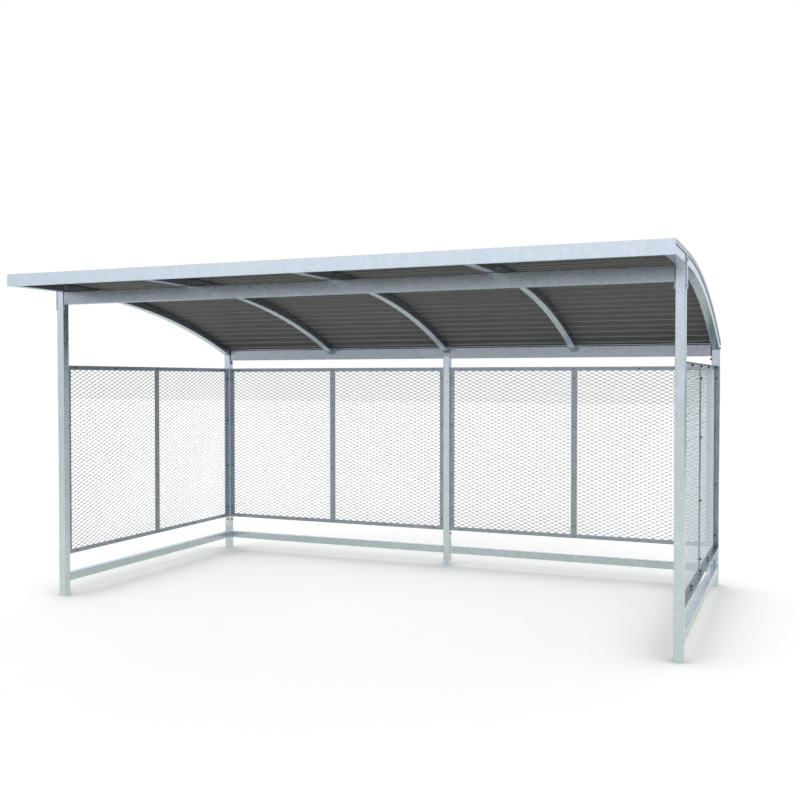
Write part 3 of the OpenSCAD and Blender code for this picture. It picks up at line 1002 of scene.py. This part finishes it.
def studio_floor():
    """Matt white floor. To the eye it is lit up to white, so that only its shadows show, with the
    soft shade that gathers under things close to it; the zinc mirrors it bright near the shelter
    and fading with distance, dark blue far behind."""
    material = empty_material("white_studio_floor")
    tree = material.node_tree
    path = node(tree, "ShaderNodeLightPath")
    glossy = path.outputs["Is Glossy Ray"]
    seen = node(
        tree,
        "ShaderNodeMath",
        LARGER,
        {0: path.outputs["Is Camera Ray"], 1: path.outputs["Is Transmission Ray"]},
    ).outputs[0]

    # How bright the zinc mirrors it, and in what colour.
    spot = node(tree, "ShaderNodeTexCoord").outputs["Object"]
    spot_y = node(tree, "ShaderNodeSeparateXYZ", {}, {0: spot}).outputs["Y"]
    reach = node(tree, "ShaderNodeVectorMath", {"operation": "LENGTH"}, {0: spot}).outputs["Value"]
    far = node(
        tree, "ShaderNodeMapRange", SMOOTH, {"Value": reach, "From Min": FLOOR_NEAR, "From Max": FLOOR_FAR}
    ).outputs[0]
    fading = node(tree, "ShaderNodeMix", NUMBERS, {SHARE: far, FIRST: FLOOR_SHINE, SECOND: 0.0}).outputs[0]
    shine = node(tree, "ShaderNodeMath", MULTIPLY, {0: glossy, 1: fading}).outputs[0]
    turn = node(tree, "ShaderNodeMath", DIVIDE, {0: spot_y, 1: reach}).outputs[0]
    back = node(
        tree,
        "ShaderNodeMapRange",
        SMOOTH,
        {"Value": turn, "From Min": BACK_WIDTH[0], "From Max": BACK_WIDTH[1]},
    ).outputs[0]
    behind = node(tree, "ShaderNodeMath", MULTIPLY, {0: far, 1: back}).outputs[0]
    image = node(
        tree,
        "ShaderNodeMix",
        COLOURS,
        {SHARE: behind, FIRST_COLOUR: linear(FLOOR_TINT), SECOND_COLOUR: linear(BACK_BLUE)},
    ).outputs[MIXED_COLOUR]
    cast = node(
        tree, "ShaderNodeMix", COLOURS, {SHARE: glossy, FIRST_COLOUR: grey(1.0), SECOND_COLOUR: image}
    ).outputs[MIXED_COLOUR]

    # The soft shade under things close to the floor, for the eye alone.
    openness = node(tree, "ShaderNodeAmbientOcclusion", {"samples": 8}, {"Distance": SHADE_REACH})
    closed = node(
        tree,
        "ShaderNodeMapRange",
        SMOOTH,
        {"Value": openness.outputs["AO"], "From Min": 1.0, "From Max": SHADE_OPEN},
    ).outputs[0]
    shade = node(tree, "ShaderNodeMath", MULTIPLY, {0: seen, 1: closed}).outputs[0]
    kept = node(tree, "ShaderNodeMix", NUMBERS, {SHARE: shade, FIRST: 1.0, SECOND: SHADE_DEPTH}).outputs[0]

    full = node(tree, "ShaderNodeMix", NUMBERS, {SHARE: seen, FIRST: FLOOR_WHITE, SECOND: 1.0}).outputs[0]
    white = node(tree, "ShaderNodeMath", MULTIPLY, {0: kept, 1: full}).outputs[0]
    paint = node(tree, "ShaderNodeVectorMath", {"operation": "SCALE"}, {0: cast, "Scale": white})
    matt = node(tree, "ShaderNodeBsdfDiffuse", {}, {"Color": paint.outputs[0]})
    lift = node(tree, "ShaderNodeMix", NUMBERS, {SHARE: seen, FIRST: shine, SECOND: FLOOR_GLOW}).outputs[0]
    strength = node(tree, "ShaderNodeMath", MULTIPLY, {0: kept, 1: lift}).outputs[0]
    glow = node(tree, "ShaderNodeEmission", {}, {"Color": cast, "Strength": strength})
    both = node(tree, "ShaderNodeAddShader", {}, {0: matt.outputs[0], 1: glow.outputs[0]})
    node(tree, "ShaderNodeOutputMaterial", {}, {"Surface": both.outputs[0]})
    return material


floor_mesh = bpy.data.meshes.new("floor")
floor_mesh.from_pydata(
    [(x * FLOOR_HALF, y * FLOOR_HALF, 0) for x, y in ((-1, -1), (1, -1), (1, 1), (-1, 1))], [], [(0, 1, 2, 3)]
)
floor = bpy.data.objects.new("floor", floor_mesh)
bpy.context.scene.collection.objects.link(floor)
floor_mesh.materials.append(studio_floor())


# ---- the studio around it, and the lamp ---------------------------------------------------

WALL_LEVEL = 1.9  # the studio's walls, as they light the shelter
CEILING_LEVEL = 0.1  # its ceiling
WALL_TOP = (0.5, 0.85)  # where the one turns into the other, as the sine of the angle upwards
SKY_SHINE = 1.1  # what the metal mirrors above eye level
SKY_TINT = "#F6F9FF"
SKY_RISE = (0.09, 0.016)  # how high the sky's full light starts, in front and straight behind
FRONT_SHINE = 0.85  # at eye level in front
BACK_SHINE = 0.62  # at eye level behind
FRONT_TO_BACK = (-0.75, 0.2)  # Y of the direction, where the one turns into the other
SIDE_SHINE = 0.08  # straight to the sides, as a share of the rest
SIDE_WIDTH = (0.72, 0.92)  # from the edge of those dark sides to their full depth


def studio():
    """White to the eye, bright walls and a dim ceiling as it lights the shelter, and for the zinc
    a bright bluish sky over a paler horizon, with dark sides that draw lines on its edges."""
    world = bpy.data.worlds.new("studio")
    world.use_nodes = True
    tree = world.node_tree
    tree.nodes.clear()
    path = node(tree, "ShaderNodeLightPath")
    glossy = path.outputs["Is Glossy Ray"]
    seen = node(
        tree,
        "ShaderNodeMath",
        LARGER,
        {0: path.outputs["Is Camera Ray"], 1: path.outputs["Is Transmission Ray"]},
    ).outputs[0]
    direction = node(tree, "ShaderNodeTexCoord").outputs["Generated"]
    way = node(tree, "ShaderNodeSeparateXYZ", {}, {0: direction})

    # What the zinc mirrors.
    behind = node(
        tree,
        "ShaderNodeMapRange",
        SMOOTH,
        {"Value": way.outputs["Y"], "From Min": BACK_WIDTH[0], "From Max": BACK_WIDTH[1]},
    ).outputs[0]
    rise = node(
        tree, "ShaderNodeMix", NUMBERS, {SHARE: behind, FIRST: SKY_RISE[0], SECOND: SKY_RISE[1]}
    ).outputs[0]
    high = node(
        tree, "ShaderNodeMapRange", SMOOTH, {"Value": way.outputs["Z"], "From Min": 0.0, "From Max": rise}
    ).outputs[0]
    rearward = node(
        tree,
        "ShaderNodeMapRange",
        SMOOTH,
        {"Value": way.outputs["Y"], "From Min": FRONT_TO_BACK[0], "From Max": FRONT_TO_BACK[1]},
    ).outputs[0]
    eye_level = node(
        tree, "ShaderNodeMix", NUMBERS, {SHARE: rearward, FIRST: FRONT_SHINE, SECOND: BACK_SHINE}
    ).outputs[0]
    sky = node(tree, "ShaderNodeMix", NUMBERS, {SHARE: high, FIRST: eye_level, SECOND: SKY_SHINE}).outputs[0]
    sideways = node(tree, "ShaderNodeMath", ABSOLUTE, {0: way.outputs["X"]}).outputs[0]
    side = node(
        tree,
        "ShaderNodeMapRange",
        SMOOTH,
        {"Value": sideways, "From Min": SIDE_WIDTH[0], "From Max": SIDE_WIDTH[1]},
    ).outputs[0]
    beside = node(tree, "ShaderNodeMix", NUMBERS, {SHARE: side, FIRST: 1.0, SECOND: SIDE_SHINE}).outputs[0]
    shine = node(tree, "ShaderNodeMath", MULTIPLY, {0: sky, 1: beside}).outputs[0]
    low = node(
        tree,
        "ShaderNodeMix",
        COLOURS,
        {SHARE: behind, FIRST_COLOUR: grey(1.0), SECOND_COLOUR: linear(BACK_BLUE)},
    ).outputs[MIXED_COLOUR]
    mirrored = node(
        tree, "ShaderNodeMix", COLOURS, {SHARE: high, FIRST_COLOUR: low, SECOND_COLOUR: linear(SKY_TINT)}
    ).outputs[MIXED_COLOUR]

    # What lights the shelter, and what each kind of ray gets.
    upper = node(
        tree,
        "ShaderNodeMapRange",
        SMOOTH,
        {"Value": way.outputs["Z"], "From Min": WALL_TOP[0], "From Max": WALL_TOP[1]},
    ).outputs[0]
    light = node(
        tree, "ShaderNodeMix", NUMBERS, {SHARE: upper, FIRST: WALL_LEVEL, SECOND: CEILING_LEVEL}
    ).outputs[0]
    unseen = node(tree, "ShaderNodeMix", NUMBERS, {SHARE: glossy, FIRST: light, SECOND: shine}).outputs[0]
    level = node(tree, "ShaderNodeMix", NUMBERS, {SHARE: seen, FIRST: unseen, SECOND: 1.0}).outputs[0]
    tint = node(
        tree, "ShaderNodeMix", COLOURS, {SHARE: glossy, FIRST_COLOUR: grey(1.0), SECOND_COLOUR: mirrored}
    ).outputs[MIXED_COLOUR]
    background = node(tree, "ShaderNodeBackground", {}, {"Color": tint, "Strength": level})
    node(tree, "ShaderNodeOutputWorld", {}, {"Surface": background.outputs[0]})
    return world


bpy.context.scene.world = studio()

LAMP_ENERGY = 0.3
LAMP_ANGLE = 60  # degrees, wide enough for soft shadows
LAMP_LEAN = 48  # degrees from straight down

lamp = bpy.data.lights.new("overhead_softbox", "SUN")
lamp.energy = LAMP_ENERGY
lamp.angle = math.radians(LAMP_ANGLE)
lamp_holder = bpy.data.objects.new("overhead_softbox", lamp)
lamp_holder.rotation_euler = (math.radians(LAMP_LEAN), 0, 0)
lamp_holder.visible_glossy = False  # the metal mirrors the studio, not the lamp
bpy.context.scene.collection.objects.link(lamp_holder)
